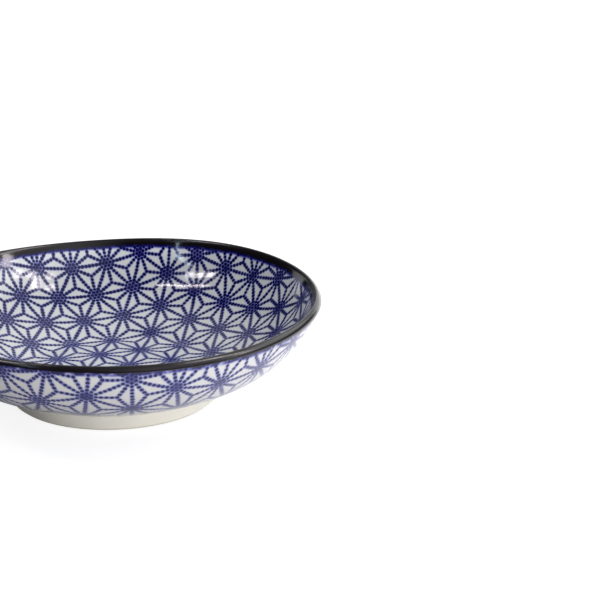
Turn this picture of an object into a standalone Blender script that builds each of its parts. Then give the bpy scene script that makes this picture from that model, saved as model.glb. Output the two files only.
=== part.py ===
"""A deep round porcelain plate: turned body, foot ring, glaze coats and a rim band.

Every piece is a profile in the XZ plane, turned about Z by a Screw modifier. A profile runs
clockwise as seen with X to the right and Z up, so that its faces point out. Units are metres.
"""

import math

import bpy
from mathutils import Vector

# Driving dimensions
PLATE_DIAMETER = 0.210
PLATE_HEIGHT = 0.052
LIP_THICKNESS = 0.0042
WALL_AT_FOOT = 0.0050
FLOOR_THICKNESS = 0.0046
FLOOR_BLEND_RADIUS = 0.020
FOOT_DIAMETER = 0.1044
FOOT_HEIGHT = 0.0086
FOOT_FLARE = 0.0029
FOOT_WIDTH = 0.0060
FOOT_EDGE_ROUND = 0.0008
FOOT_CORNER_RADIUS = 0.0012
BARE_EDGE_HEIGHT = 0.0014

# How the wall leaves the foot and how it reaches the lip
WALL_ANGLE_AT_FOOT = math.radians(25.6)
WALL_ANGLE_AT_LIP = math.radians(66.6)
SWEEP_AT_FOOT = 0.0142
SWEEP_AT_LIP = 0.0330

# Coats
GLAZE_THICKNESS = 0.0005
RIM_BAND_OUTSIDE = 0.0010
RIM_BAND_INSIDE = 0.0026

# Clearance between a coat and what it lies on, and between two coats
SEAT_GAP = 0.0003

# Fineness of the turned shapes
TURN_STEPS = 56
SEAM_MERGE = 0.00001
WALL_POINTS = 10
BLEND_POINTS = 5
LIP_POINTS = 7
CORNER_POINTS = 4

# Finishes: a linear colour, a roughness and how much clear coat lies over it
CLAY = ((0.72, 0.71, 0.66), 0.6, 0.0)
BARE_CLAY = ((0.70, 0.67, 0.60), 0.75, 0.0)
PRINT_INSIDE = ((0.36, 0.38, 0.52), 0.12, 1.0)
PRINT_OUTSIDE = ((0.42, 0.44, 0.60), 0.12, 1.0)
PLAIN_GLAZE = ((0.74, 0.74, 0.70), 0.15, 1.0)
IRON_BROWN = ((0.014, 0.011, 0.012), 0.15, 1.0)

# Places that follow from the dimensions
LIP_RADIUS = LIP_THICKNESS / 2
LIP_CENTRE = Vector((PLATE_DIAMETER / 2 - LIP_RADIUS, PLATE_HEIGHT - LIP_RADIUS))
FOOT_RADIUS = FOOT_DIAMETER / 2
FOOT_TOP = Vector((FOOT_RADIUS + FOOT_FLARE, FOOT_HEIGHT))
COAT_DEPTH = GLAZE_THICKNESS + SEAT_GAP


def direction(angle):
    return Vector((math.cos(angle), math.sin(angle)))


def arc(centre, radius, start, end, count):
    """Points on a circle, from the start angle to the end angle."""
    turn = (end - start) / (count - 1)
    return [centre + radius * direction(start + turn * i) for i in range(count)]


def bezier_point(controls, t):
    p0, p1, p2, p3 = controls
    s = 1 - t
    return s**3 * p0 + 3 * s * s * t * p1 + 3 * s * t * t * p2 + t**3 * p3


def bezier_direction(controls, t):
    p0, p1, p2, p3 = controls
    s = 1 - t
    return (s * s * (p1 - p0) + 2 * s * t * (p2 - p1) + t * t * (p3 - p2)).normalized()


def inset(points, depth):
    """The line moved to its right by depth, each stretch staying parallel to itself."""
    sides = []
    for a, b in zip(points, points[1:]):
        along = (b - a).normalized()
        sides.append(Vector((along.y, -along.x)))
    moved = [points[0] + depth * sides[0]]
    for point, before, after in zip(points[1:-1], sides, sides[1:]):
        moved.append(point + (before + after) * depth / (1 + before.dot(after)))
    return moved + [points[-1] + depth * sides[-1]]


def cut(points, distance):
    """The line's part before and after a distance along it, both with the point at the cut."""
    gone = 0.0
    for i, (a, b) in enumerate(zip(points, points[1:])):
        stretch = (b - a).length
        if gone + stretch > distance:
            at = a.lerp(b, (distance - gone) / stretch)
            return points[: i + 1] + [at], [at] + points[i + 1 :]
        gone += stretch
    return points, points[-1:]


def wall_controls():
    """The wall's outer face as one Bezier curve, from the foot up to where the lip's round begins."""
    lip = LIP_CENTRE + LIP_RADIUS * direction(WALL_ANGLE_AT_LIP - math.pi / 2)
    return [
        FOOT_TOP,
        FOOT_TOP + SWEEP_AT_FOOT * direction(WALL_ANGLE_AT_FOOT),
        lip - SWEEP_AT_LIP * direction(WALL_ANGLE_AT_LIP),
        lip,
    ]


def wall_outside():
    controls = wall_controls()
    return [bezier_point(controls, i / (WALL_POINTS - 1)) for i in range(WALL_POINTS)]


def wall_inside():
    """The wall's inner face, set off from the outer one by a thickness that falls towards the lip."""
    controls = wall_controls()
    points = []
    for i in range(WALL_POINTS):
        t = i / (WALL_POINTS - 1)
        along = bezier_direction(controls, t)
        thickness = WALL_AT_FOOT + (LIP_THICKNESS - WALL_AT_FOOT) * t
        points.append(bezier_point(controls, t) + thickness * Vector((-along.y, along.x)))
    return points


def foot_side_point(height):
    """The point of the foot's outer side at a height."""
    return Vector((FOOT_RADIUS + FOOT_FLARE * height / FOOT_HEIGHT, height))


def inside_face():
    """The plate's inner face, from the middle of the floor out to the lip."""
    wall = wall_inside()
    start = wall[0]
    slope = (wall[1] - wall[0]).angle_signed(Vector((1, 0)))
    centre = start + FLOOR_BLEND_RADIUS * direction(slope + math.pi / 2)
    blend = arc(centre, FLOOR_BLEND_RADIUS, -math.pi / 2, slope - math.pi / 2, BLEND_POINTS)
    return [Vector((0, blend[0].y))] + blend[:-1] + wall


def outside_face():
    """The plate's outer face, from the lip down the wall and the foot to its bare edge."""
    wall = wall_outside()
    up_wall = (wall[1] - wall[0]).normalized()
    down_foot = (foot_side_point(0) - FOOT_TOP).normalized()
    half = up_wall.angle(down_foot) / 2
    reach = FOOT_CORNER_RADIUS / math.tan(half)
    middle = FOOT_TOP + (up_wall + down_foot).normalized() * FOOT_CORNER_RADIUS / math.sin(half)
    start = FOOT_TOP + reach * up_wall - middle
    end = FOOT_TOP + reach * down_foot - middle
    first = math.atan2(start.y, start.x)
    last = first - start.angle_signed(end)
    corner = arc(middle, FOOT_CORNER_RADIUS, first, last, CORNER_POINTS)
    return wall[:0:-1] + corner + [foot_side_point(BARE_EDGE_HEIGHT)]


def lip_round(depth):
    """The round of the lip, from its inner side over the top to its outer side."""
    outer = WALL_ANGLE_AT_LIP - math.pi / 2
    return arc(LIP_CENTRE, LIP_RADIUS - depth, outer + math.pi, outer, LIP_POINTS)


INSIDE = inside_face()
OUTSIDE = outside_face()
FLOOR_HEIGHT = INSIDE[0].y
RECESS_HEIGHT = FLOOR_HEIGHT - FLOOR_THICKNESS
FOOT_INNER_RADIUS = FOOT_RADIUS - FOOT_WIDTH


def clay_outside():
    """The outer face of the clay under the coat: down the wall to the foot's corner, then the foot."""
    return inset(wall_outside()[::-1] + [foot_side_point(0)], COAT_DEPTH)


def clay_underside():
    """Where the foot ring is joined on: from the foot's corner in to the edge of the flat floor."""
    return [clay_outside()[-2], Vector((FOOT_INNER_RADIUS, RECESS_HEIGHT + COAT_DEPTH))]


def porcelain_body_profile():
    """Floor and wall in one line: out over the inside, round the lip and back in underneath."""
    inside = inset(INSIDE, COAT_DEPTH)
    wall = clay_outside()[:-2]
    underside = clay_underside()
    middle = Vector((0, underside[-1].y))
    return inside + lip_round(COAT_DEPTH)[1:-1] + wall + underside + [middle]


def inner_glaze_profile():
    """A thin dish over the floor and the inner wall, up to the rim band."""
    from_lip = INSIDE[::-1]
    face = cut(from_lip, RIM_BAND_INSIDE + SEAT_GAP)[1][::-1]
    return face + inset(face, GLAZE_THICKNESS)[::-1]


def outer_glaze_profile():
    """A thin coat from the rim band down the wall and the side of the foot."""
    face = cut(OUTSIDE, RIM_BAND_OUTSIDE + SEAT_GAP)[1]
    return face + inset(face, GLAZE_THICKNESS)[::-1]


def rim_band_profile():
    """A coat over the lip, from the inner wall over the top to the outer wall."""
    rising = cut(INSIDE[::-1], RIM_BAND_INSIDE)[0][::-1]
    falling = cut(OUTSIDE, RIM_BAND_OUTSIDE)[0]
    face = rising + lip_round(0)[1:-1] + falling
    back = (
        inset(rising, GLAZE_THICKNESS)
        + lip_round(GLAZE_THICKNESS)[1:-1]
        + inset(falling, GLAZE_THICKNESS)
    )
    return face + back[::-1]


def base_glaze_profile():
    """A shallow cap under the floor, with a skirt down the inner side of the foot."""
    top = RECESS_HEIGHT + GLAZE_THICKNESS
    outer = FOOT_INNER_RADIUS
    inner = FOOT_INNER_RADIUS - GLAZE_THICKNESS
    return [
        Vector((0, top)),
        Vector((outer, top)),
        Vector((outer, BARE_EDGE_HEIGHT)),
        Vector((inner, BARE_EDGE_HEIGHT)),
        Vector((inner, RECESS_HEIGHT)),
        Vector((0, RECESS_HEIGHT)),
    ]


def foot_ring_profile():
    """The clay ring under the body, with rounded lower edges and a flat face to stand on."""
    corner, floor_edge = clay_underside()
    foot_bottom = clay_outside()[-1]
    drop = SEAT_GAP * (foot_bottom - corner).normalized()
    outer_top = corner + drop
    inner_side = FOOT_INNER_RADIUS + SEAT_GAP
    share = (inner_side - floor_edge.x) / (corner.x - floor_edge.x)
    seat = floor_edge.lerp(corner, share) + drop
    outer_side = foot_bottom.x
    round_up = Vector((0, FOOT_EDGE_ROUND))
    outer_middle = Vector((outer_side - FOOT_EDGE_ROUND, 0)) + round_up
    inner_middle = Vector((inner_side + FOOT_EDGE_ROUND, 0)) + round_up
    return (
        [seat, outer_top]
        + arc(outer_middle, FOOT_EDGE_ROUND, 0, -math.pi / 2, CORNER_POINTS)
        + arc(inner_middle, FOOT_EDGE_ROUND, -math.pi / 2, -math.pi, CORNER_POINTS)
    )


def finish(name, look):
    """A Principled BSDF material for one finish."""
    colour, roughness, coat = look
    material = bpy.data.materials.new(name)
    material.use_nodes = True
    shader = material.node_tree.nodes["Principled BSDF"]
    shader.inputs["Base Color"].default_value = (*colour, 1)
    shader.inputs["Roughness"].default_value = roughness
    shader.inputs["Metallic"].default_value = 0
    shader.inputs["Coat Weight"].default_value = coat
    return material


def turned(name, profile, material, collection):
    """Turns a profile about Z into one closed, smoothly shaded object."""
    on_axis = profile[0].x == 0
    count = len(profile)
    edges = [(i, i + 1) for i in range(count - 1)]
    if not on_axis:
        edges.append((count - 1, 0))
    mesh = bpy.data.meshes.new(name)
    mesh.from_pydata([(p.x, 0, p.y) for p in profile], edges, [])
    mesh.materials.append(material)
    piece = bpy.data.objects.new(name, mesh)
    collection.objects.link(piece)
    screw = piece.modifiers.new("turn", "SCREW")
    screw.axis = "Z"
    screw.steps = TURN_STEPS
    screw.render_steps = TURN_STEPS
    screw.use_merge_vertices = True
    screw.merge_threshold = SEAM_MERGE
    screw.use_smooth_shade = True
    return piece


def clear_scene():
    for obj in list(bpy.data.objects):
        bpy.data.objects.remove(obj)


def main():
    clear_scene()
    plate = bpy.data.collections.new("pasta_plate")
    bpy.context.scene.collection.children.link(plate)
    clay = finish("porcelain_clay", CLAY)
    bare = finish("bare_porcelain", BARE_CLAY)
    inside = finish("printed_glaze_inside", PRINT_INSIDE)
    outside = finish("printed_glaze_outside", PRINT_OUTSIDE)
    plain = finish("plain_glaze", PLAIN_GLAZE)
    brown = finish("iron_brown_glaze", IRON_BROWN)
    turned("porcelain_body", porcelain_body_profile(), clay, plate)
    turned("foot_ring", foot_ring_profile(), bare, plate)
    turned("inner_glaze", inner_glaze_profile(), inside, plate)
    turned("outer_glaze", outer_glaze_profile(), outside, plate)
    turned("base_glaze", base_glaze_profile(), plain, plate)
    turned("rim_band", rim_band_profile(), brown, plate)


main()
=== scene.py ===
# %% [markdown]
# # A pasta plate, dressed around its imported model
#
# The plate is turned porcelain: a deep bowl on a foot ring, a hemp-leaf print in cobalt blue under a
# clear gloss glaze, and a brown-black band laid over the lip by hand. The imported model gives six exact
# but coarse turned solids. This script keeps their places and sizes, turns each of them again with far
# more points, adds the slight warp that firing leaves in the rim, and gives each its own finish.

# %% Load the frame
import math

import bpy
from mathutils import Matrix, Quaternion, Vector


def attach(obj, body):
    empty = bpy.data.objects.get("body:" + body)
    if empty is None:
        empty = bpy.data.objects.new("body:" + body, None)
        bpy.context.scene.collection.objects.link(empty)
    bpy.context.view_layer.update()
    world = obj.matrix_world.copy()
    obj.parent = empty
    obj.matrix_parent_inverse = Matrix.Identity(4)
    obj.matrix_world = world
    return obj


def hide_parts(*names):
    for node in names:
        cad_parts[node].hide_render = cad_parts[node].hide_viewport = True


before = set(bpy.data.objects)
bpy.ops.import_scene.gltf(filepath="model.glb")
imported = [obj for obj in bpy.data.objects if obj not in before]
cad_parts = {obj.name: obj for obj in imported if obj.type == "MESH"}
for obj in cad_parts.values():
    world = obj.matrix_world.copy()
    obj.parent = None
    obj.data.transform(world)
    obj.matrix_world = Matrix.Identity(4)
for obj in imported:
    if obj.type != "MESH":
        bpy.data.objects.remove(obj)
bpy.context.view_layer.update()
MM = 0.001
print("nodes:", sorted(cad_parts))

# %% [markdown]
# ## Real sizes
#
# The plate's shape is in these lines and nowhere else. They are in millimetres because that is how a
# potter's template is marked, and angles are measured from the table. All but the last four are the
# values that the solids were turned from. Those four shape the lip and the brown band more closely: the
# solids have a plain round lip, and the real one leans outwards a little.

# %% Sizes
PLATE_DIAMETER = 210.0
PLATE_HEIGHT = 52.0
LIP_THICKNESS = 4.2
WALL_AT_FOOT = 5.0
FLOOR_THICKNESS = 4.6
FLOOR_BLEND_RADIUS = 20.0
FOOT_DIAMETER = 104.4
FOOT_HEIGHT = 8.6
FOOT_FLARE = 2.9
FOOT_WIDTH = 6.0
FOOT_EDGE_ROUND = 0.8
FOOT_CORNER_RADIUS = 1.2
BARE_EDGE_HEIGHT = 1.4
WALL_ANGLE_AT_FOOT = math.radians(25.6)
WALL_ANGLE_AT_LIP = math.radians(66.6)
SWEEP_AT_FOOT = 14.2
SWEEP_AT_LIP = 33.0
GLAZE_THICKNESS = 0.5
# How deep the clay lies: one glaze thickness and the small gap that the solids keep
COAT_DEPTH = 0.8
# Handles of the lip's curve, along the wall: the longer one inside leans the lip outwards
LIP_RISE_INSIDE = 3.65
LIP_RISE_OUTSIDE = 1.3
# Where the band's own coat ends, measured down each face from the wall's top, so minus is up on the lip
BAND_INSIDE = 0.4
BAND_OUTSIDE = -0.8

LIP_RADIUS = LIP_THICKNESS / 2
LIP_CENTRE = Vector((PLATE_DIAMETER / 2 - LIP_RADIUS, PLATE_HEIGHT - LIP_RADIUS))
FOOT_RADIUS = FOOT_DIAMETER / 2
FOOT_TOP = Vector((FOOT_RADIUS + FOOT_FLARE, FOOT_HEIGHT))
FOOT_INNER_RADIUS = FOOT_RADIUS - FOOT_WIDTH
print("plate: %.0f mm across, %.0f mm high" % (PLATE_DIAMETER, PLATE_HEIGHT))

# %% [markdown]
# ## Lines to turn
#
# A thrown plate is known by its section. The outer wall is one Bezier curve from the foot to the lip,
# the inner wall is set off from it by the wall's thickness, an arc blends the inner wall into the flat
# floor, and a short Bezier curve closes the lip. Writing the section as formulas, and not as traced
# points, means that it can be sampled as finely as the render needs.

# %% Helpers for lines in the section (r, z)
# Points on each stretch of the section
FLAT_POINTS = 8
WALL_POINTS = 44
BLEND_POINTS = 14
LIP_POINTS = 21
CORNER_POINTS = 7


def direction(angle):
    return Vector((math.cos(angle), math.sin(angle)))


def arc(centre, radius, start, end, count):
    turn = (end - start) / (count - 1)
    return [centre + radius * direction(start + turn * i) for i in range(count)]


def bezier_point(controls, t):
    p0, p1, p2, p3 = controls
    s = 1 - t
    return s**3 * p0 + 3 * s * s * t * p1 + 3 * s * t * t * p2 + t**3 * p3


def bezier_direction(controls, t):
    p0, p1, p2, p3 = controls
    s = 1 - t
    return (s * s * (p1 - p0) + 2 * s * t * (p2 - p1) + t * t * (p3 - p2)).normalized()


def inset(points, depth):
    """The line moved to its right by depth, each stretch staying parallel to itself."""
    sides = []
    for a, b in zip(points, points[1:]):
        along = (b - a).normalized()
        sides.append(Vector((along.y, -along.x)))
    moved = [points[0] + depth * sides[0]]
    for point, before, after in zip(points[1:-1], sides, sides[1:]):
        moved.append(point + (before + after) * depth / (1 + before.dot(after)))
    return moved + [points[-1] + depth * sides[-1]]


def lengths(points):
    """The distance along the line at each of its points."""
    gone = [0.0]
    for a, b in zip(points, points[1:]):
        gone.append(gone[-1] + (b - a).length)
    return gone


def cut(points, distance):
    """The line before and after a distance along it, both with the point at the cut."""
    gone = lengths(points)
    last = max(i for i in range(len(points)) if gone[i] < distance)
    share = (distance - gone[last]) / (gone[last + 1] - gone[last])
    at = points[last].lerp(points[last + 1], share)
    return points[: last + 1] + [at], [at] + points[last + 1 :]


# %% Inside face
lip_start = LIP_CENTRE + LIP_RADIUS * direction(WALL_ANGLE_AT_LIP - math.pi / 2)
wall_curve = [
    FOOT_TOP,
    FOOT_TOP + SWEEP_AT_FOOT * direction(WALL_ANGLE_AT_FOOT),
    lip_start - SWEEP_AT_LIP * direction(WALL_ANGLE_AT_LIP),
    lip_start,
]
wall_steps = [i / (WALL_POINTS - 1) for i in range(WALL_POINTS)]
wall_outside = [bezier_point(wall_curve, t) for t in wall_steps]
wall_inside = []
for t in wall_steps:
    along = bezier_direction(wall_curve, t)
    thickness = WALL_AT_FOOT + (LIP_THICKNESS - WALL_AT_FOOT) * t
    wall_inside.append(bezier_point(wall_curve, t) + thickness * Vector((-along.y, along.x)))

blend_slope = (wall_inside[1] - wall_inside[0]).angle_signed(Vector((1, 0)))
blend_centre = wall_inside[0] + FLOOR_BLEND_RADIUS * direction(blend_slope + math.pi / 2)
floor_blend = arc(
    blend_centre, FLOOR_BLEND_RADIUS, -math.pi / 2, blend_slope - math.pi / 2, BLEND_POINTS
)
floor_height = floor_blend[0].y
flat_floor = [Vector((floor_blend[0].x * i / FLAT_POINTS, floor_height)) for i in range(FLAT_POINTS)]
inside_face = flat_floor + floor_blend[:-1] + wall_inside
INSIDE_ARC = lengths(inside_face)[-1]
print("along the inside from the middle to the lip: %.1f mm" % INSIDE_ARC)

# %% Outside face, with a rounded corner between the wall and the foot
up_wall = (wall_outside[1] - wall_outside[0]).normalized()
down_foot = (Vector((FOOT_RADIUS, 0)) - FOOT_TOP).normalized()
half_corner = up_wall.angle(down_foot) / 2
corner_reach = FOOT_CORNER_RADIUS / math.tan(half_corner)
corner_middle = (up_wall + down_foot).normalized() * FOOT_CORNER_RADIUS / math.sin(half_corner)
corner_middle += FOOT_TOP
corner_start = FOOT_TOP + corner_reach * up_wall - corner_middle
corner_end = FOOT_TOP + corner_reach * down_foot - corner_middle
corner_angle = math.atan2(corner_start.y, corner_start.x)
foot_corner = arc(
    corner_middle,
    FOOT_CORNER_RADIUS,
    corner_angle,
    corner_angle - corner_start.angle_signed(corner_end),
    CORNER_POINTS,
)
bare_edge_radius = FOOT_RADIUS + FOOT_FLARE * BARE_EDGE_HEIGHT / FOOT_HEIGHT
foot_side = [Vector((bare_edge_radius, BARE_EDGE_HEIGHT))]
outside_face = wall_outside[:1:-1] + foot_corner + foot_side
recess_height = floor_height - FLOOR_THICKNESS
OUTSIDE_ARC = lengths(wall_outside)[-1]
print("along the outside from the foot to the lip: %.1f mm" % OUTSIDE_ARC)

# %% Lip
lip_up = direction(WALL_ANGLE_AT_LIP)
lip_curve = [
    wall_inside[-1],
    wall_inside[-1] + LIP_RISE_INSIDE * lip_up,
    lip_start + LIP_RISE_OUTSIDE * lip_up,
    lip_start,
]
lip_face = [bezier_point(lip_curve, i / (LIP_POINTS - 1)) for i in range(LIP_POINTS)]
print("over the lip: %.1f mm" % lengths(lip_face)[-1])

# %% [markdown]
# ## One node helper
#
# Geometry trees and shader trees are both built from nodes, so one small function serves them all: it
# adds a node, sets its options and fills its inputs with either plain values or other nodes' outputs.

# %% add


def add(tree, kind, inputs=None, **options):
    node = tree.nodes.new(kind)
    for name, value in options.items():
        setattr(node, name, value)
    for key, value in (inputs or {}).items():
        if isinstance(value, bpy.types.NodeSocket):
            tree.links.new(value, node.inputs[key])
        else:
            node.inputs[key].default_value = value
    return node


# %% [markdown]
# ## The potter's wheel, as Geometry Nodes
#
# Every piece of a plate is a line turned about the axis. A Screw modifier would do that too, but here
# the wheel has two more jobs: it warps the rim by about a millimetre, as firing does, and it lays a map
# on the faces for the print. So the tree sets up a grid, one column for each point of the line and one
# row for each step of the turn, and puts every grid point where the line and the angle say. The map is
# the print laid flat: a point's distance along the face from the middle, turned by the same angle. It
# has no seam, and outwards from the middle its distances are the real ones.

# %% The wheel's inputs
# Lobes of the rim's warp: how many around, height in mm, and where the first one peaks
RIM_WARP = [
    ("Two lobes", 2, 0.46, math.radians(40.8)),
    ("Three lobes", 3, 0.52, math.radians(87.8)),
    ("Four lobes", 4, 0.5, math.radians(240.3)),
]
WHEEL_INPUTS = [
    ("Line", "NodeSocketGeometry"),
    ("Steps around", "NodeSocketInt"),
    ("Warp starts at", "NodeSocketFloat"),
    ("Warp is full at", "NodeSocketFloat"),
    *((name, "NodeSocketFloat") for name, *_ in RIM_WARP),
    ("Finish", "NodeSocketMaterial"),
]
print("inputs:", [name for name, _ in WHEEL_INPUTS])

# %% warp_rim
# The warp starts at the foot and grows with this power of the way out to the lip
WARP_POWER = 2.0


def warp_rim(tree, given, angle, radius, height):
    """A turned point's height, raised or lowered by the lobes of the warp."""
    weight = add(
        tree,
        "ShaderNodeMapRange",
        {"Value": radius, "From Min": given["Warp starts at"], "From Max": given["Warp is full at"]},
    ).outputs[0]
    weight = add(tree, "ShaderNodeMath", {0: weight, 1: WARP_POWER}, operation="POWER").outputs[0]
    warp = 0.0
    for name, lobes, _, peak in RIM_WARP:
        wave = add(
            tree, "ShaderNodeMath", {0: angle, 1: lobes, 2: -peak}, operation="MULTIPLY_ADD"
        ).outputs[0]
        wave = add(tree, "ShaderNodeMath", {0: wave}, operation="COSINE").outputs[0]
        warp = add(
            tree, "ShaderNodeMath", {0: wave, 1: given[name], 2: warp}, operation="MULTIPLY_ADD"
        ).outputs[0]
    return add(
        tree, "ShaderNodeMath", {0: weight, 1: warp, 2: height}, operation="MULTIPLY_ADD"
    ).outputs[0]


# %% close_round
MAP_NAME = "print_map"
SEAM_MERGE = 0.001
SHARP_ANGLE = math.radians(40)


def close_round(tree, grid, flat, turned):
    """The grid bent round to one closed piece with its map: smooth, but sharp at real edges."""
    mapped = add(
        tree,
        "GeometryNodeStoreNamedAttribute",
        {"Geometry": grid, "Name": MAP_NAME, "Value": flat},
        data_type="FLOAT_VECTOR",
        domain="POINT",
    ).outputs[0]
    shaped = add(tree, "GeometryNodeSetPosition", {"Geometry": mapped, "Position": turned}).outputs[0]
    closed = add(
        tree, "GeometryNodeMergeByDistance", {"Geometry": shaped, "Distance": SEAM_MERGE * MM}
    ).outputs[0]
    flat_map = add(
        tree, "GeometryNodeInputNamedAttribute", {"Name": MAP_NAME}, data_type="FLOAT_VECTOR"
    ).outputs[0]
    with_map = add(
        tree,
        "GeometryNodeStoreNamedAttribute",
        {"Geometry": closed, "Name": MAP_NAME, "Value": flat_map},
        data_type="FLOAT2",
        domain="CORNER",
    ).outputs[0]
    smooth = add(tree, "GeometryNodeSetShadeSmooth", {"Geometry": with_map}, domain="FACE").outputs[0]
    bend = add(tree, "GeometryNodeInputMeshEdgeAngle").outputs[0]
    is_sharp = add(tree, "ShaderNodeMath", {0: bend, 1: SHARP_ANGLE}, operation="GREATER_THAN").outputs[0]
    return add(
        tree,
        "GeometryNodeSetShadeSmooth",
        {"Geometry": smooth, "Selection": is_sharp, "Shade Smooth": False},
        domain="EDGE",
    ).outputs[0]


# %% Build the wheel


def build_wheel():
    tree = bpy.data.node_groups.new("turn_on_wheel", "GeometryNodeTree")
    for name, kind in WHEEL_INPUTS:
        tree.interface.new_socket(name, in_out="INPUT", socket_type=kind)
    tree.interface.new_socket("Piece", in_out="OUTPUT", socket_type="NodeSocketGeometry")
    given = tree.nodes.new("NodeGroupInput").outputs

    count = add(tree, "GeometryNodeAttributeDomainSize", {0: given["Line"]}).outputs[0]
    steps = given["Steps around"]
    rows = add(tree, "ShaderNodeMath", {0: steps, 1: 1.0}, operation="ADD").outputs[0]
    grid = add(tree, "GeometryNodeMeshGrid", {"Vertices X": count, "Vertices Y": rows}).outputs[0]
    index = add(tree, "GeometryNodeInputIndex").outputs[0]
    column = add(tree, "ShaderNodeMath", {0: index, 1: rows}, operation="DIVIDE").outputs[0]
    column = add(tree, "ShaderNodeMath", {0: column}, operation="FLOOR").outputs[0]
    row = add(tree, "ShaderNodeMath", {0: index, 1: rows}, operation="MODULO").outputs[0]
    turn = add(tree, "ShaderNodeMath", {0: row, 1: steps}, operation="DIVIDE").outputs[0]
    angle = add(tree, "ShaderNodeMath", {0: turn, 1: math.tau}, operation="MULTIPLY").outputs[0]

    place = add(tree, "GeometryNodeInputPosition").outputs[0]
    on_line = add(
        tree,
        "GeometryNodeSampleIndex",
        {"Geometry": given["Line"], "Value": place, "Index": column},
        data_type="FLOAT_VECTOR",
    ).outputs[0]
    radius, _, height = add(tree, "ShaderNodeSeparateXYZ", {0: on_line}).outputs
    stored_reach = add(tree, "GeometryNodeInputNamedAttribute", {"Name": "reach"}).outputs[0]
    reach = add(
        tree,
        "GeometryNodeSampleIndex",
        {"Geometry": given["Line"], "Value": stored_reach, "Index": column},
        data_type="FLOAT",
    ).outputs[0]

    across = add(tree, "ShaderNodeMath", {0: angle}, operation="COSINE").outputs[0]
    along = add(tree, "ShaderNodeMath", {0: angle}, operation="SINE").outputs[0]
    around = add(tree, "ShaderNodeCombineXYZ", {0: across, 1: along}).outputs[0]
    level = add(tree, "ShaderNodeVectorMath", {0: around, "Scale": radius}, operation="SCALE").outputs[0]
    warped = warp_rim(tree, given, angle, radius, height)
    lift = add(tree, "ShaderNodeCombineXYZ", {2: warped}).outputs[0]
    turned = add(tree, "ShaderNodeVectorMath", {0: level, 1: lift}, operation="ADD").outputs[0]
    flat = add(tree, "ShaderNodeVectorMath", {0: around, "Scale": reach}, operation="SCALE").outputs[0]

    piece = close_round(tree, grid, flat, turned)
    real = add(tree, "GeometryNodeRealizeInstances", {0: piece}).outputs[0]
    finished = add(
        tree, "GeometryNodeSetMaterial", {"Geometry": real, "Material": given["Finish"]}
    ).outputs[0]
    add(tree, "NodeGroupOutput", {"Piece": finished})
    return tree


wheel = build_wheel()
print("wheel:", len(wheel.nodes), "nodes")

# %% [markdown]
# ## Turning a piece
#
# The line goes in as a mesh of points and edges that also carries each point's reach, the distance
# that the map uses. The result is made a plain mesh and the modifier goes away, so that each piece is
# handed on finished. The volume is worked out from the faces: it is positive only if they all look
# outwards, which is worth knowing before any light falls on them.

# %% turn_piece
TURN_STEPS = 240


def turn_piece(name, line, reach, finish):
    mesh = bpy.data.meshes.new(name + "_line")
    mesh.from_pydata(
        [(p.x * MM, 0, p.y * MM) for p in line], [(i, i + 1) for i in range(len(line) - 1)], []
    )
    mesh.attributes.new("reach", "FLOAT", "POINT").data.foreach_set("value", [r * MM for r in reach])
    holder = bpy.data.objects.new(name + "_line", mesh)
    bpy.context.scene.collection.objects.link(holder)
    turning = holder.modifiers.new("wheel", "NODES")
    turning.node_group = wheel
    values = {
        "Steps around": TURN_STEPS,
        "Warp starts at": FOOT_TOP.x * MM,
        "Warp is full at": LIP_CENTRE.x * MM,
        "Finish": finish,
    }
    values.update({label: height * MM for label, _, height, _ in RIM_WARP})
    for item in wheel.interface.items_tree:
        if item.name in values:
            turning[item.identifier] = values[item.name]
    depsgraph = bpy.context.evaluated_depsgraph_get()
    plain = bpy.data.meshes.new_from_object(holder.evaluated_get(depsgraph))
    plain.name = name
    bpy.data.objects.remove(holder)
    bpy.data.meshes.remove(mesh)
    piece = bpy.data.objects.new(name, plain)
    bpy.context.scene.collection.objects.link(piece)
    volume = 0.0
    plain.calc_loop_triangles()
    for face in plain.loop_triangles:
        a, b, c = (plain.vertices[i].co for i in face.vertices)
        volume += a.dot(b.cross(c)) / 6
    print("%s: %d faces, %.2f cm3" % (name, len(plain.polygons), volume * 1e6))
    return piece


# %% [markdown]
# ## Colours and the hemp-leaf print
#
# Colours are written as sRGB hex values, as a colour picker shows them, and one function turns them
# into the linear numbers that shaders use.
#
# The hemp leaf (asanoha) is an old Japanese pattern: a lattice of triangles, each joined from its
# corners to its middle, so that twelve rays meet in every star. On this kind of plate the lines are
# rows of small cobalt dots. Drawing thousands of dots is not needed. The pattern repeats and mirrors,
# so any point can be folded into one small wedge of one star, where only two rows of dots are left: the
# triangle's edge and the ray to the triangle's middle. The distance to the nearest dot then decides
# the colour.

# %% Linear colours


def linear(code):
    """An sRGB hex value as a linear colour with alpha 1."""
    parts = [int(code[i : i + 2], 16) / 255 for i in (1, 3, 5)]
    return [c / 12.92 if c <= 0.04045 else ((c + 0.055) / 1.055) ** 2.4 for c in parts] + [1.0]


# %% The print as a shader group
# In star spacings: dots along a triangle's edge, and dots on the ray from a star to a triangle's middle
DOTS_ON_EDGE = 10
DOT_PITCH = 1 / DOTS_ON_EDGE
RAY_LENGTH = 1 / math.sqrt(3)
RAY_START = math.sqrt(3) * DOT_PITCH
RAY_STEPS = 4
RAY_PITCH = (RAY_LENGTH - RAY_START) / RAY_STEPS
STAR_WEDGE = math.pi / 6


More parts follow.
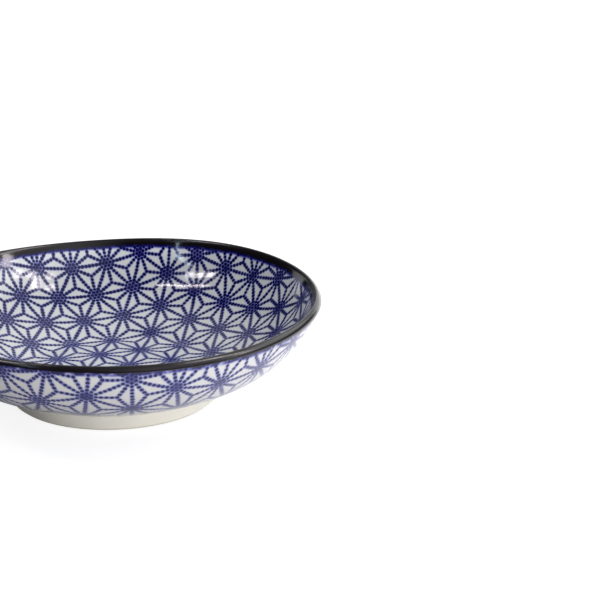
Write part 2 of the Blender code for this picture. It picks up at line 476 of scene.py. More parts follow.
def build_print():
    """Group: a point of the flat map, counted in star spacings, to its distance from dot, row, star."""
    tree = bpy.data.node_groups.new("hemp_leaf_dots", "ShaderNodeTree")
    tree.interface.new_socket("Place", in_out="INPUT", socket_type="NodeSocketVector")
    tree.interface.new_socket("To dot", in_out="OUTPUT", socket_type="NodeSocketFloat")
    tree.interface.new_socket("To row", in_out="OUTPUT", socket_type="NodeSocketFloat")
    tree.interface.new_socket("To star", in_out="OUTPUT", socket_type="NodeSocketFloat")
    place = tree.nodes.new("NodeGroupInput").outputs["Place"]
    # The stars are two grids of tall cells, one set in the middles of the other, and the nearer star counts
    half_cell = (0.5, math.sqrt(3) / 2, 1.0)
    minus_half = tuple(-c for c in half_cell)
    to_middle = (*half_cell[:2], 0.0)
    moved = add(tree, "ShaderNodeVectorMath", {0: place, 1: to_middle}, operation="ADD").outputs[0]
    offsets = [
        add(tree, "ShaderNodeVectorMath", {0: p, 1: half_cell, 2: minus_half}, operation="WRAP").outputs[0]
        for p in (place, moved)
    ]
    far = [
        add(tree, "ShaderNodeVectorMath", {0: o}, operation="LENGTH").outputs["Value"] for o in offsets
    ]
    second = add(tree, "ShaderNodeMath", {0: far[1], 1: far[0]}, operation="LESS_THAN").outputs[0]
    star = add(
        tree, "ShaderNodeMix", {0: second, 4: offsets[0], 5: offsets[1]}, data_type="VECTOR"
    ).outputs[1]
    radius = add(tree, "ShaderNodeVectorMath", {0: star}, operation="LENGTH").outputs["Value"]
    flat = add(tree, "ShaderNodeSeparateXYZ", {0: star}).outputs
    angle = add(tree, "ShaderNodeMath", {0: flat[1], 1: flat[0]}, operation="ARCTAN2").outputs[0]
    angle = add(tree, "ShaderNodeMath", {0: angle, 1: STAR_WEDGE}, operation="PINGPONG").outputs[0]
    from_ray = add(tree, "ShaderNodeMath", {0: angle, 1: STAR_WEDGE}, operation="SUBTRACT").outputs[0]
    to_dot = []
    to_row = []
    for turn, start, pitch in ((angle, 0.0, DOT_PITCH), (from_ray, RAY_START, RAY_PITCH)):
        cosine = add(tree, "ShaderNodeMath", {0: turn}, operation="COSINE").outputs[0]
        sine = add(tree, "ShaderNodeMath", {0: turn}, operation="SINE").outputs[0]
        along = add(
            tree, "ShaderNodeMath", {0: radius, 1: cosine, 2: -start}, operation="MULTIPLY_ADD"
        ).outputs[0]
        aside = add(tree, "ShaderNodeMath", {0: radius, 1: sine}, operation="MULTIPLY").outputs[0]
        short = add(tree, "ShaderNodeMath", {0: along, 1: 0.0}, operation="MINIMUM").outputs[0]
        along = add(
            tree, "ShaderNodeMath", {0: along, 1: pitch / 2, 2: -pitch / 2}, operation="WRAP"
        ).outputs[0]
        offset = add(tree, "ShaderNodeCombineXYZ", {0: along, 1: aside, 2: short}).outputs[0]
        to_dot.append(add(tree, "ShaderNodeVectorMath", {0: offset}, operation="LENGTH").outputs["Value"])
        offset = add(tree, "ShaderNodeCombineXYZ", {0: short, 1: aside}).outputs[0]
        to_row.append(add(tree, "ShaderNodeVectorMath", {0: offset}, operation="LENGTH").outputs["Value"])
    dot = add(tree, "ShaderNodeMath", {0: to_dot[0], 1: to_dot[1]}, operation="MINIMUM").outputs[0]
    row = add(tree, "ShaderNodeMath", {0: to_row[0], 1: to_row[1]}, operation="MINIMUM").outputs[0]
    add(tree, "NodeGroupOutput", {"To dot": dot, "To row": row, "To star": radius})
    return tree


hemp_leaf = build_print()
print("print group:", len(hemp_leaf.nodes), "nodes")

# %% [markdown]
# ## Printed, glazed porcelain
#
# Underglaze print: cobalt is printed on thin paper, smoothed onto the biscuit-fired clay by hand and
# covered by clear glaze, which the firing melts to a glass. The paper gives as it goes over the bowl, so
# the lattice swells towards the lip, is dragged a little aside and its lines wander. Cobalt is a stain,
# not a paint: a colour ramp says what it lets through, and that is multiplied on the white ground. It
# runs a little into the glaze between the dots and stands up from it by a hair. At the lip the brown
# band was brushed on by hand: its edge sways, and the cobalt under it shows as a patchy blue fringe.
#
# A picture of the print would do too, but it has a fixed grain and none of this could be changed in it.
# Here all of it is worked out on the map, where the distance from the middle is the distance along the
# face, in four steps: lay the print, see how much cobalt it leaves, find the lip's edge, and colour.

# %% lay_print
# How far apart the firing's and the hand's unevenness comes, in mm
UNEVEN = {"lines": 14, "dots": 3, "bleed": 24, "band": 9, "fringe": 5, "ground": 40, "pools": 11}
# Most of a noise's values lie in this range
NOISE_RANGE = {"From Min": 0.3, "From Max": 0.7}
# The looks say how much the paper gives at this distance from the middle
GIVE_AT = 100 * MM


def lay_print(tree, flat, reach, where, look):
    """A point of the flat map to its distances from dot, row and star, counted in star spacings."""
    per_area = look["swell"] / GIVE_AT**2
    swell = add(tree, "ShaderNodeMath", {0: reach, 1: reach}, operation="MULTIPLY").outputs[0]
    swell = add(
        tree, "ShaderNodeMath", {0: swell, 1: per_area, 2: 1.0}, operation="MULTIPLY_ADD"
    ).outputs[0]
    smoothed = add(tree, "ShaderNodeVectorMath", {0: flat, "Scale": swell}, operation="SCALE").outputs[0]
    sides = add(tree, "ShaderNodeSeparateXYZ", {0: smoothed}).outputs
    corner = add(tree, "ShaderNodeMath", {0: sides[0], 1: sides[1]}, operation="MULTIPLY").outputs[0]
    drag = tuple(d * MM / GIVE_AT**2 for d in look["drag"]) + (0,)
    drag = add(tree, "ShaderNodeVectorMath", {0: drag, "Scale": corner}, operation="SCALE").outputs[0]
    smoothed = add(tree, "ShaderNodeVectorMath", {0: smoothed, 1: drag}, operation="ADD").outputs[0]
    wander = add(
        tree,
        "ShaderNodeTexNoise",
        {"Vector": where, "Scale": 1 / (UNEVEN["lines"] * MM), "Detail": 2.0},
    ).outputs["Color"]
    wander = add(
        tree, "ShaderNodeVectorMath", {0: wander, 1: (0.5, 0.5, 0.5)}, operation="SUBTRACT"
    ).outputs[0]
    wander = add(
        tree, "ShaderNodeVectorMath", {0: wander, "Scale": look["wander"] * MM}, operation="SCALE"
    ).outputs[0]
    hand_laid = add(tree, "ShaderNodeVectorMath", {0: smoothed, 1: wander}, operation="ADD").outputs[0]
    spacing = look["spacing"] * MM
    stretch = look["stretch"]
    on_lattice = add(
        tree,
        "ShaderNodeMapping",
        {
            "Vector": hand_laid,
            "Location": (look["star"][0] * MM, look["star"][1] * MM, 0),
            "Rotation": (0, 0, look["turn"]),
            "Scale": (spacing * (1 - stretch), spacing * (1 + stretch), 1),
        },
        vector_type="TEXTURE",
    ).outputs[0]
    return add(tree, "ShaderNodeGroup", {"Place": on_lattice}, node_tree=hemp_leaf).outputs


# %% leave_cobalt
# Where the floor's dots end and the wall's begin, along the face in mm
FLOOR_DOTS_TO = 45
WALL_DOTS_FROM = 85
# Dots differ in size, and the bleed in strength, by up to these shares
DOT_UNEVEN = 0.12
BLEED_UNEVEN = 0.2
# The share of a dot's radius that is full of colour
DOT_HEART = 0.78
# The cobalt that gathers in a star's middle fades between these two radii, in mm
CORE_FULL = 2.0
CORE_END = 6.0


def leave_cobalt(tree, pattern, reach, where, look):
    """How much cobalt the print leaves: all in the dots, some beside the rows and in the stars."""
    size = add(
        tree, "ShaderNodeTexNoise", {"Vector": where, "Scale": 1 / (UNEVEN["dots"] * MM), "Detail": 1.0}
    ).outputs["Fac"]
    size = add(
        tree,
        "ShaderNodeMapRange",
        {"Value": size, **NOISE_RANGE, "To Min": 1 - DOT_UNEVEN, "To Max": 1 + DOT_UNEVEN},
    ).outputs[0]
    growth = add(
        tree,
        "ShaderNodeMapRange",
        {
            "Value": reach,
            "From Min": FLOOR_DOTS_TO * MM,
            "From Max": WALL_DOTS_FROM * MM,
            "To Min": look["dot_on_floor"],
            "To Max": look["dot_on_wall"],
        },
    ).outputs[0]
    size = add(tree, "ShaderNodeMath", {0: size, 1: growth}, operation="MULTIPLY").outputs[0]
    to_dot = add(tree, "ShaderNodeMath", {0: pattern["To dot"], 1: size}, operation="DIVIDE").outputs[0]
    # From here on lengths in mm are divided by the spacing, because the group counts in spacings
    layers = {}
    for name, distance, end, full, most in (
        ("dots", to_dot, look["dot"] + look["soft"], look["dot"] * DOT_HEART, look["ink"]),
        ("bleed", pattern["To row"], look["dot"] + look["bleed"], 0.0, look["bleed_strength"]),
        ("core", pattern["To star"], CORE_END, CORE_FULL, look["core_strength"]),
    ):
        layers[name] = add(
            tree,
            "ShaderNodeMapRange",
            {
                "Value": distance,
                "From Min": end / look["spacing"],
                "From Max": full / look["spacing"],
                "To Max": most,
            },
            interpolation_type="SMOOTHSTEP",
        ).outputs[0]
    run = add(
        tree, "ShaderNodeMath", {0: layers["bleed"], 1: layers["core"]}, operation="MAXIMUM"
    ).outputs[0]
    uneven = add(
        tree, "ShaderNodeTexNoise", {"Vector": where, "Scale": 1 / (UNEVEN["bleed"] * MM), "Detail": 2.0}
    ).outputs["Fac"]
    uneven = add(
        tree,
        "ShaderNodeMapRange",
        {"Value": uneven, **NOISE_RANGE, "To Min": 1 - BLEED_UNEVEN, "To Max": 1 + BLEED_UNEVEN},
    ).outputs[0]
    run = add(tree, "ShaderNodeMath", {0: run, 1: uneven}, operation="MULTIPLY").outputs[0]
    return add(tree, "ShaderNodeMath", {0: layers["dots"], 1: run}, operation="MAXIMUM").outputs[0]


# %% brush_lip
# The band's edge is thin over this length below and above it, in mm
BAND_THINS_BELOW = 0.6
BAND_THINS_ABOVE = 0.2
# The share of the fringe next to the band that is full of cobalt, and how it breaks into patches
FRINGE_HEART = 0.2
FRINGE_PATCHES = {"From Min": 0.35, "From Max": 0.65, "To Max": 1.1}


def brush_lip(tree, flat, reach, where, look):
    """The brown band at the lip and the cobalt fringe that shows below it, each from 0 to 1."""
    sway = add(
        tree, "ShaderNodeTexNoise", {"Vector": where, "Scale": 1 / (UNEVEN["band"] * MM), "Detail": 3.0}
    ).outputs["Fac"]
    most = look["band_sway"] * MM
    sway = add(
        tree, "ShaderNodeMapRange", {"Value": sway, **NOISE_RANGE, "To Min": -most, "To Max": most}
    ).outputs[0]
    below_lip = add(
        tree, "ShaderNodeMath", {0: look["lip_reach"] * MM, 1: reach}, operation="SUBTRACT"
    ).outputs[0]
    below_lip = add(tree, "ShaderNodeMath", {0: below_lip, 1: sway}, operation="ADD").outputs[0]
    around = add(tree, "ShaderNodeVectorMath", {0: flat}, operation="NORMALIZE").outputs[0]
    lower_side = (math.cos(look["lower_side"]), math.sin(look["lower_side"]), 0)
    around = add(
        tree, "ShaderNodeVectorMath", {0: around, 1: lower_side}, operation="DOT_PRODUCT"
    ).outputs["Value"]
    lower_by = -look["lower_by"] * MM
    below_lip = add(
        tree, "ShaderNodeMath", {0: around, 1: lower_by, 2: below_lip}, operation="MULTIPLY_ADD"
    ).outputs[0]
    edges = []
    for end, full in (
        (look["band"] + BAND_THINS_BELOW, look["band"] - BAND_THINS_ABOVE),
        (look["band"] + look["fringe"], look["band"] + look["fringe"] * FRINGE_HEART),
    ):
        edge = add(
            tree,
            "ShaderNodeMapRange",
            {"Value": below_lip, "From Min": end * MM, "From Max": full * MM},
            interpolation_type="SMOOTHSTEP",
        ).outputs[0]
        edges.append(edge)
    band, fringe = edges
    patchy = add(
        tree, "ShaderNodeTexNoise", {"Vector": where, "Scale": 1 / (UNEVEN["fringe"] * MM), "Detail": 2.0}
    ).outputs["Fac"]
    patchy = add(
        tree,
        "ShaderNodeMapRange",
        {"Value": patchy, **FRINGE_PATCHES, "To Min": look["fringe_least"]},
    ).outputs[0]
    fringe = add(tree, "ShaderNodeMath", {0: fringe, 1: patchy}, operation="MULTIPLY").outputs[0]
    return band, fringe


# %% printed_glaze
# The brown band runs from its own coat a little way over the printed ones
IRON_BROWN = "#100e11"
# What cobalt lets through, from none of it to a thick dot: thin it is lavender, thick it is navy
COBALT_STAIN = [
    (0.0, "#ffffff"),
    (0.15, "#e0e4f6"),
    (0.35, "#a3a7e3"),
    (0.55, "#6d70be"),
    (0.75, "#383992"),
    (1.0, "#090950"),
]
# The print starts over this length on either side of its edge, in mm
PRINT_EDGE = 0.4
# Pools and ridges in the glaze, in mm: far too low to see by themselves, but they ripple what it mirrors
POOL_HEIGHT = 0.06
GLASS_IOR = 1.5
GLAZE_ROUGHNESS = 0.09


def printed_glaze(name, look):
    """Cobalt print under clear glaze: white and blue with depth, and the hard shine of glass."""
    material = bpy.data.materials.new(name)
    material.use_nodes = True
    tree = material.node_tree
    shader = tree.nodes["Principled BSDF"]
    flat = add(tree, "ShaderNodeUVMap", uv_map=MAP_NAME).outputs[0]
    where = add(tree, "ShaderNodeTexCoord").outputs["Object"]
    reach = add(tree, "ShaderNodeVectorMath", {0: flat}, operation="LENGTH").outputs["Value"]

    pattern = lay_print(tree, flat, reach, where, look)
    cobalt = leave_cobalt(tree, pattern, reach, where, look)
    printed = add(
        tree,
        "ShaderNodeMapRange",
        {
            "Value": reach,
            "From Min": (look["print_from"] - PRINT_EDGE) * MM,
            "From Max": (look["print_from"] + PRINT_EDGE) * MM,
        },
    ).outputs[0]
    cobalt = add(tree, "ShaderNodeMath", {0: cobalt, 1: printed}, operation="MULTIPLY").outputs[0]
    band, fringe = brush_lip(tree, flat, reach, where, look)
    cobalt = add(tree, "ShaderNodeMath", {0: cobalt, 1: fringe}, operation="MAXIMUM").outputs[0]

    ground = add(
        tree, "ShaderNodeTexNoise", {"Vector": where, "Scale": 1 / (UNEVEN["ground"] * MM), "Detail": 3.0}
    ).outputs["Fac"]
    ground = add(
        tree,
        "ShaderNodeMix",
        {0: ground, 6: linear(look["ground"]), 7: linear(look["ground_shade"])},
        data_type="RGBA",
    ).outputs[2]
    plain = add(
        tree, "ShaderNodeMix", {0: printed, 6: linear(look["unprinted"]), 7: ground}, data_type="RGBA"
    ).outputs[2]
    stain = add(tree, "ShaderNodeValToRGB", {0: cobalt})
    stops = stain.color_ramp.elements
    for i, (amount, code) in enumerate(COBALT_STAIN):
        stop = stops[i] if i < len(stops) else stops.new(amount)
        stop.position = amount
        stop.color = linear(code)
    stained = add(
        tree,
        "ShaderNodeMix",
        {0: 1.0, 6: plain, 7: stain.outputs[0]},
        data_type="RGBA",
        blend_type="MULTIPLY",
    ).outputs[2]
    coloured = add(
        tree, "ShaderNodeMix", {0: band, 6: stained, 7: linear(IRON_BROWN)}, data_type="RGBA"
    ).outputs[2]
    tree.links.new(coloured, shader.inputs["Base Color"])

    pool = add(
        tree, "ShaderNodeTexNoise", {"Vector": where, "Scale": 1 / (UNEVEN["pools"] * MM), "Detail": 2.0}
    ).outputs["Fac"]
    relief = add(
        tree, "ShaderNodeMath", {0: cobalt, 1: look["relief"], 2: pool}, operation="MULTIPLY_ADD"
    ).outputs[0]
    wavy = add(
        tree, "ShaderNodeBump", {"Height": relief, "Distance": POOL_HEIGHT * MM, "Strength": 1.0}
    ).outputs[0]
    tree.links.new(wavy, shader.inputs["Normal"])
    shader.inputs["Roughness"].default_value = GLAZE_ROUGHNESS
    shader.inputs["IOR"].default_value = GLASS_IOR
    return material


# %% [markdown]
# ## The two printed faces
#
# Inside and outside carry two sheets of the same print, so a face is a list of what the print and the
# brush did there. Lengths are in millimetres on the flat map and strengths are shares of a full dot. The
# outside begins at the foot, so its map is shifted out by about the foot's radius. Its print is larger
# and softer. The foot is glazed but not printed: a warmer white, and painted light makes it brighter
# than the same clear glaze under the floor.

# %% Inside
INSIDE_LOOK = {
    # Where the lattice lies: star spacing, turn, one star's place, and how the paper gave
    "spacing": 22.44,
    "turn": math.radians(12.49),
    "star": (-46.46, 96.92),
    "stretch": 0.01,
    "swell": 0.0171,
    "drag": (2.53, 1.45),
    "wander": 0.5,
    # Dots and what runs out of them: radius, soft edge, reach of the bleed, size on floor and wall
    "dot": 1.03,
    "soft": 0.43,
    "bleed": 0.92,
    "dot_on_floor": 0.91,
    "dot_on_wall": 1.0,
    "ink": 1.0,
    "bleed_strength": 0.45,
    "relief": 0.07,
    "core_strength": 0.54,
    # White ground in two shades, the white without print, and where the print starts: minus is everywhere
    "ground": "#dadedd",
    "ground_shade": "#d3d7d6",
    "unprinted": "#dadedd",
    "print_from": -10.0,
    # The brushed lip: where the face ends, the band's width, its sway, where it hangs lower, the fringe
    "lip_reach": INSIDE_ARC,
    "band": 1.9,
    "band_sway": 0.45,
    "lower_side": 0.0,
    "lower_by": 0.0,
    "fringe": 2.8,
    "fringe_least": 0.8,
}
inside_finish = printed_glaze("printed_glaze_inside", INSIDE_LOOK)
print("inside glaze:", len(inside_finish.node_tree.nodes), "nodes")

# %% Outside
OUTSIDE_SHIFT = 52.8
OUTSIDE_LOOK = dict(
    INSIDE_LOOK,
    spacing=25.67,
    turn=math.radians(30.6),
    star=(-14.21, -102.21),
    stretch=0.0228,
    swell=0.0,
    drag=(0.0, 0.0),
    dot=0.95,
    soft=0.72,
    bleed=1.17,
    dot_on_floor=0.92,
    dot_on_wall=0.92,
    ink=0.95,
    bleed_strength=0.47,
    core_strength=0.7,
    ground="#d7d7d7",
    ground_shade="#d0d0d0",
    # The foot's white: its own warmer tint, plus painted light that sets it brighter than the same glaze
    # under the floor
    unprinted="#f1ede1",
    print_from=OUTSIDE_SHIFT + 1.0,
    lip_reach=OUTSIDE_SHIFT + OUTSIDE_ARC,
    band=-0.9,
    band_sway=0.3,
    lower_side=math.radians(-20),
    lower_by=0.9,
    fringe=3.2,
    fringe_least=0.3,
)
outside_finish = printed_glaze("printed_glaze_outside", OUTSIDE_LOOK)
print("outside glaze:", len(outside_finish.node_tree.nodes), "nodes")

# %% [markdown]
# ## Plain finishes
#
# The band on the lip is an iron-oxide glaze, nearly black and less glossy than the clear one, so light
# runs along it in soft streaks. Under the foot the same clear glaze lies on bare white clay, and the
# edge that the plate stood on in the kiln was wiped clean, so it is dry, rough and a little darker. One
# function makes all four, because they differ only in shades, grain and gloss.

# %% ceramic


def ceramic(name, light, dark, grain, roughness, bump):
    """Fired clay or glaze in two close shades, with a grain size in mm and a bump height in mm."""
    material = bpy.data.materials.new(name)
    material.use_nodes = True
    tree = material.node_tree
    shader = tree.nodes["Principled BSDF"]
    where = add(tree, "ShaderNodeTexCoord").outputs["Object"]
    spots = add(
        tree, "ShaderNodeTexNoise", {"Vector": where, "Scale": 1 / (grain * MM), "Detail": 4.0}
    ).outputs["Fac"]
    shade = add(
        tree, "ShaderNodeMix", {0: spots, 6: linear(light), 7: linear(dark)}, data_type="RGBA"
    ).outputs[2]
    tree.links.new(shade, shader.inputs["Base Color"])
    raised = add(tree, "ShaderNodeBump", {"Height": spots, "Distance": bump * MM}).outputs[0]
    tree.links.new(raised, shader.inputs["Normal"])
    shader.inputs["Roughness"].default_value = roughness
    shader.inputs["IOR"].default_value = GLASS_IOR
    return material


# %% Plain finishes
# Brushed iron glaze, semi-gloss: a black line with long soft highlights
brown_finish = ceramic("iron_brown_glaze", "#19161a", "#131014", 6.0, 0.2, 0.03)
# Clear glaze on white clay: warm white with a clean shine
base_finish = ceramic("plain_clear_glaze", "#ecebe2", "#e4e3d8", 30.0, 0.1, 0.05)
# Wiped and fired bare: dry and matt, with a grain drawn coarser than the real one so that it shows
bare_finish = ceramic("bare_fired_porcelain", "#dcd6c8", "#cfc8b8", 1.2, 0.75, 0.03)
# The clay inside the coats: matt and even, hardly ever seen
clay_finish = ceramic("porcelain_clay", "#dedcd2", "#d4d2c8", 2.0, 0.6, 0.02)
print("plain finishes:", brown_finish.name, base_finish.name, bare_finish.name, clay_finish.name)

# %% [markdown]
# ## The coats
#
# Each coat is a thin closed shell: its face, then the same line one glaze thickness deeper, back to
# where it began. The coats meet edge to edge on the same circles, so no gap shows between them. A
# Solidify modifier could thicken a turned face too, but a line that runs there and back gives the same
# closed shell in one turn of the wheel.

# %% shell and dress


def shell(face, reach):
    """A coat's closed line and the reach of its points. A face that starts on the axis closes there."""
    back = inset(face, GLAZE_THICKNESS)
    line = face + back[::-1]
    reaches = reach + reach[::-1]
    if face[0].x > 0:
        line = line + line[:1]
        reaches = reaches + reaches[:1]
    return line, reaches


def dress(name, line, reach, finish, slot):
    """Turn a piece and let it stand for the solid of the same name."""
    piece = turn_piece("plate_" + name, line, reach, finish)
    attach(piece, "root")
    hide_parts(name)
    return piece


# %% Inside glaze
band_rise, inside_coat = cut(inside_face[::-1], BAND_INSIDE)
inside_coat = inside_coat[::-1]
dress("inner_glaze", *shell(inside_coat, lengths(inside_coat)), inside_finish, "printed_glaze_inside")

# %% Outside glaze
lip_cover, outside_coat = cut(lip_face[:-1] + outside_face, lengths(lip_face)[-1] + BAND_OUTSIDE)
outside_reach = [OUTSIDE_SHIFT + OUTSIDE_ARC - BAND_OUTSIDE - d for d in lengths(outside_coat)]
dress("outer_glaze", *shell(outside_coat, outside_reach), outside_finish, "printed_glaze_outside")

# %% Band on the lip
band_face = band_rise[::-1] + lip_cover[1:]
dress("rim_band", *shell(band_face, [0.0] * len(band_face)), brown_finish, "iron_brown_glaze")

# %% Glaze under the floor
base_line = [
    Vector((0, recess_height + GLAZE_THICKNESS)),
    Vector((FOOT_INNER_RADIUS, recess_height + GLAZE_THICKNESS)),
    Vector((FOOT_INNER_RADIUS, BARE_EDGE_HEIGHT)),
    Vector((FOOT_INNER_RADIUS - GLAZE_THICKNESS, BARE_EDGE_HEIGHT)),
    Vector((FOOT_INNER_RADIUS - GLAZE_THICKNESS, recess_height)),
    Vector((0, recess_height)),
]
dress("base_glaze", base_line, [0.0] * len(base_line), base_finish, "plain_glaze")

# %% [markdown]
# ## The clay
#
# The body and its foot ring are the clay under the coats. On the real plate they are one piece of clay,
# so here they share the circle where the wall meets the foot. They are turned as two pieces because they
# differ: the body is wholly coated, and the ring ends in the dry edge that the plate stands on.

# %% Clay body
clay_face = inside_face + lip_face[1:-1] + wall_outside[::-1] + [Vector((FOOT_RADIUS, 0))]
clay_face = inset(clay_face, COAT_DEPTH)
clay_corner = clay_face[-2]
body_line = clay_face[:-1] + [
    Vector((FOOT_INNER_RADIUS, recess_height + COAT_DEPTH)),
    Vector((0, recess_height + COAT_DEPTH)),
]
dress("porcelain_body", body_line, [0.0] * len(body_line), clay_finish, "porcelain")

# %% Foot ring
outer_edge = Vector((clay_face[-1].x - FOOT_EDGE_ROUND, FOOT_EDGE_ROUND))
inner_edge = Vector((FOOT_INNER_RADIUS + FOOT_EDGE_ROUND, FOOT_EDGE_ROUND))
ring_line = [Vector((FOOT_INNER_RADIUS, recess_height + GLAZE_THICKNESS)), clay_corner]
ring_line += arc(outer_edge, FOOT_EDGE_ROUND, 0, -math.pi / 2, CORNER_POINTS)
ring_line += arc(inner_edge, FOOT_EDGE_ROUND, -math.pi / 2, -math.pi, CORNER_POINTS)
ring_line += ring_line[:1]
dress("foot_ring", ring_line, [0.0] * len(ring_line), bare_finish, "bare_porcelain")

# %% [markdown]
# ## Floor
#
# The plate stands on a plain white floor that fills the frame. The floor is lit like anything else, so
# it keeps the plate's shadow, and light of its own brings it up to white. A floor that only shone would
# lose the shadow, and one that was only lit would be grey at its far end. The Light Path node tells who
# is looking: to the camera the floor shines and its own colour is darker, which keeps the shadow soft.
# In the glaze it shines on the right only, as in a room with its window on that side.

# %% Floor
# Half the floor's side, in metres: far enough that its edge stays low on the horizon
FLOOR_HALF = 80.0

floor_mesh = bpy.data.meshes.new("floor")
floor_mesh.from_pydata(
    [(x * FLOOR_HALF, y * FLOOR_HALF, 0) for x, y in ((-1, -1), (1, -1), (1, 1), (-1, 1))],
    [],
    [(0, 1, 2, 3)],
)
floor = bpy.data.objects.new("floor", floor_mesh)
bpy.context.scene.collection.objects.link(floor)
print("floor:", 2 * FLOOR_HALF, "m wide")

# %% Floor finish
WHITE = "#ffffff"
FLOOR_COLOUR = "#cbcbcb"
FLOOR_COLOUR_SEEN = "#a0a0a0"
FLOOR_GLOW_SEEN = 0.85
# From left to right, in metres beside the plate, and how brightly the floor shows in the glaze there
GLOW_MIRRORED = {"From Min": -0.05, "From Max": 0.2, "To Min": 0.08, "To Max": 1.25}

# Matt white paint: no shine at all, so only the plate's shadow marks it
floor_finish = bpy.data.materials.new("white_floor")
floor_finish.use_nodes = True
floor_tree = floor_finish.node_tree
floor_shader = floor_tree.nodes["Principled BSDF"]
floor_shader.inputs["Roughness"].default_value = 1.0
floor_shader.inputs["Specular IOR Level"].default_value = 0.0
floor_shader.inputs["Emission Color"].default_value = linear(WHITE)
path = add(floor_tree, "ShaderNodeLightPath").outputs
seen = path["Is Camera Ray"]
colour = add(
    floor_tree,
    "ShaderNodeMix",
    {0: seen, 6: linear(FLOOR_COLOUR), 7: linear(FLOOR_COLOUR_SEEN)},
    data_type="RGBA",
).outputs[2]
floor_tree.links.new(colour, floor_shader.inputs["Base Color"])
mirrored = add(
    floor_tree,
    "ShaderNodeMath",
    {0: path["Is Glossy Ray"], 1: path["Is Transmission Ray"]},
    operation="MAXIMUM",
).outputs[0]
spot = add(floor_tree, "ShaderNodeNewGeometry").outputs["Position"]
across = add(floor_tree, "ShaderNodeSeparateXYZ", {0: spot}).outputs["X"]
lit = add(floor_tree, "ShaderNodeMapRange", {"Value": across, **GLOW_MIRRORED}).outputs[0]
mirrored = add(floor_tree, "ShaderNodeMath", {0: mirrored, 1: lit}, operation="MULTIPLY").outputs[0]
glow = add(
    floor_tree, "ShaderNodeMath", {0: seen, 1: FLOOR_GLOW_SEEN, 2: mirrored}, operation="MULTIPLY_ADD"
).outputs[0]
floor_tree.links.new(glow, floor_shader.inputs["Emission Strength"])
floor_mesh.materials.append(floor_finish)
print("floor finish:", len(floor_tree.nodes), "nodes")

# %% [markdown]
# ## Light
#
# Glaze shows whatever it mirrors, so a shiny plate is lit by thinking about what stands around it. The
# sky is a soft wall of light on the right that fades out towards the left, upwards and at the horizon.
# Large soft lamps stand on the right and behind, where the glaze may show them. Three more only lift the
# shaded sides, and they are hidden from reflections. A thin strip on the left, the panes of two windows
# and four thin strips of cool light are small and bright: each draws one mark of glare on the bowl.

# %% Sky
scene = bpy.context.scene
BRIGHT_AZIMUTH = 15
bright_side = (math.cos(math.radians(BRIGHT_AZIMUTH)), math.sin(math.radians(BRIGHT_AZIMUTH)), 0)
world = bpy.data.worlds.new("studio")
scene.world = world
world.use_nodes = True
sky_tree = world.node_tree
background = sky_tree.nodes["Background"]
background.inputs["Color"].default_value = linear(WHITE)
toward = add(sky_tree, "ShaderNodeTexCoord").outputs["Generated"]
upward = add(sky_tree, "ShaderNodeSeparateXYZ", {0: toward}).outputs["Z"]
rightward = add(
    sky_tree, "ShaderNodeVectorMath", {0: toward, 1: bright_side}, operation="DOT_PRODUCT"
).outputs["Value"]
wall = add(
    sky_tree,
    "ShaderNodeMapRange",
    {"Value": rightward, "From Min": -0.36, "From Max": 0.1, "To Min": 0.0, "To Max": 0.88},
).outputs[0]
sky = add(
    sky_tree,
    "ShaderNodeMapRange",
    {"Value": upward, "From Min": 0.12, "From Max": 0.6, "To Min": 0.02, "To Max": wall},
    interpolation_type="SMOOTHSTEP",
).outputs[0]
overhead = add(
    sky_tree,
    "ShaderNodeMapRange",
    {"Value": upward, "From Min": 0.75, "From Max": 1.0, "To Min": 1.0, "To Max": 0.35},
    interpolation_type="SMOOTHSTEP",
).outputs[0]
sky = add(sky_tree, "ShaderNodeMath", {0: sky, 1: overhead}, operation="MULTIPLY").outputs[0]
sky_tree.links.new(sky, background.inputs["Strength"])
print("sky: brightest at an azimuth of", BRIGHT_AZIMUTH, "degrees")

# %% softbox
PLATE_MIDDLE = Vector((0, 0, 0.03))
WARM = "#fff5f6"
COOL = "#d8f0ff"


def softbox(name, azimuth, elevation, distance, size, watts, roll=0, mirrored=True, tint=WHITE):
    """A flat lamp that faces the plate: direction and roll in degrees, distance and size in metres."""
    across = math.radians(azimuth)
    up = math.radians(elevation)
    lamp = bpy.data.lights.new(name, "AREA")
    lamp.shape = "RECTANGLE"
    lamp.size, lamp.size_y = size
    lamp.energy = watts
    lamp.color = linear(tint)[:3]
    holder = bpy.data.objects.new(name, lamp)
    scene.collection.objects.link(holder)
    outward = Vector((math.cos(across) * math.cos(up), math.sin(across) * math.cos(up), math.sin(up)))
    holder.location = PLATE_MIDDLE + distance * outward
    facing = outward.to_track_quat("Z", "Y") @ Quaternion((0, 0, 1), math.radians(roll))
    holder.rotation_euler = facing.to_euler()
    holder.visible_camera = False
    holder.visible_glossy = mirrored


# %% Lamps
softbox("key_right", 16, 34, 1.2, (1.1, 0.62), 3.1)
softbox("card_right", -24, 19, 1.2, (0.4, 0.3), 0.6)
softbox("card_back_right", 66, 9, 1.3, (1.0, 0.5), 2.3)
softbox("card_back_left", 128, 4, 1.3, (0.4, 0.24), 0.28)
softbox("backdrop", 88, 2, 1.7, (1.6, 0.24), 0.9)
softbox("low_front", -54, 4, 1.2, (0.5, 0.12), 9, mirrored=False)
softbox("fill_left", -142, 4, 1.2, (0.4, 0.12), 0.9, mirrored=False)
softbox("fill_high_left", 165, 40, 1.2, (0.5, 0.4), 2.2, mirrored=False)
softbox("strip_left", 173.6, 64, 1.18, (0.022, 0.44), 1.1, -19, tint=WARM)
PANE_DISTANCE = 1.17
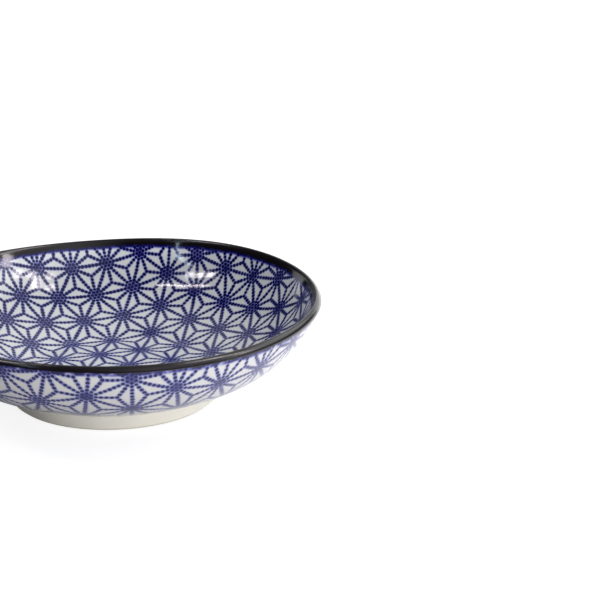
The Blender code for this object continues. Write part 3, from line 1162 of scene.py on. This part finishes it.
# Azimuth, elevation, width, height, roll, watts for a square metre and tint of each pane
WINDOW_PANES = [
    # The window on the right, which shows at the left of the bowl
    (-15, 32, 0.12, 0.2, -45, 36, WARM),
    (-11.5, 45, 0.09, 0.17, -45, 40, WARM),
    (-19, 50.5, 0.1, 0.14, -45, 40, WARM),
    (-8, 58.5, 0.1, 0.3, -57, 40, WARM),
    (-27, 59, 0.08, 0.14, -45, 36, WARM),
    (-2, 67, 0.07, 0.14, -68, 36, WARM),
    # The window on the left, which shows on the back wall
    (192.5, 54.9, 0.07, 0.11, 40, 45, WARM),
    (187.2, 51.7, 0.07, 0.1, 40, 60, WARM),
    (182.3, 47.9, 0.07, 0.11, 40, 68, WARM),
    # Thin strips of cool light, which show above it
    (-138.3, 36.1, 0.02, 0.19, 20, 34, COOL),
    (-143.6, 43.4, 0.04, 0.085, 26, 48, COOL),
    (-153.6, 46.9, 0.02, 0.2, 76, 40, COOL),
    (-167, 56.5, 0.02, 0.25, 50, 34, COOL),
]
for azimuth, elevation, width, height, roll, density, tint in WINDOW_PANES:
    watts = density * width * height
    softbox("pane", azimuth, elevation, PANE_DISTANCE, (width, height), watts, roll, tint=tint)

# %% [markdown]
# ## Camera
#
# A long lens, as for product pictures, keeps the rim's ellipse calm. Its place and direction were found
# by fitting the outlines of the rim and the foot, with the real sizes above.

# %% Camera
CAMERA_PLACE = Vector((0, -0.8782, 0.3405))
CAMERA_TILT = math.radians(71.562)
CAMERA_TURN = math.radians(-6.145)
CAMERA_LENS = 110
FILM_WIDTH = 36

camera_data = bpy.data.cameras.new("camera")
camera_data.lens = CAMERA_LENS
camera_data.sensor_width = FILM_WIDTH
camera = bpy.data.objects.new("camera", camera_data)
scene.collection.objects.link(camera)
camera.location = CAMERA_PLACE
camera.rotation_euler = (CAMERA_TILT, 0, CAMERA_TURN)
scene.camera = camera
scene.view_settings.view_transform = "Standard"
print("camera: %.2f m from the plate" % (CAMERA_PLACE - PLATE_MIDDLE).length)
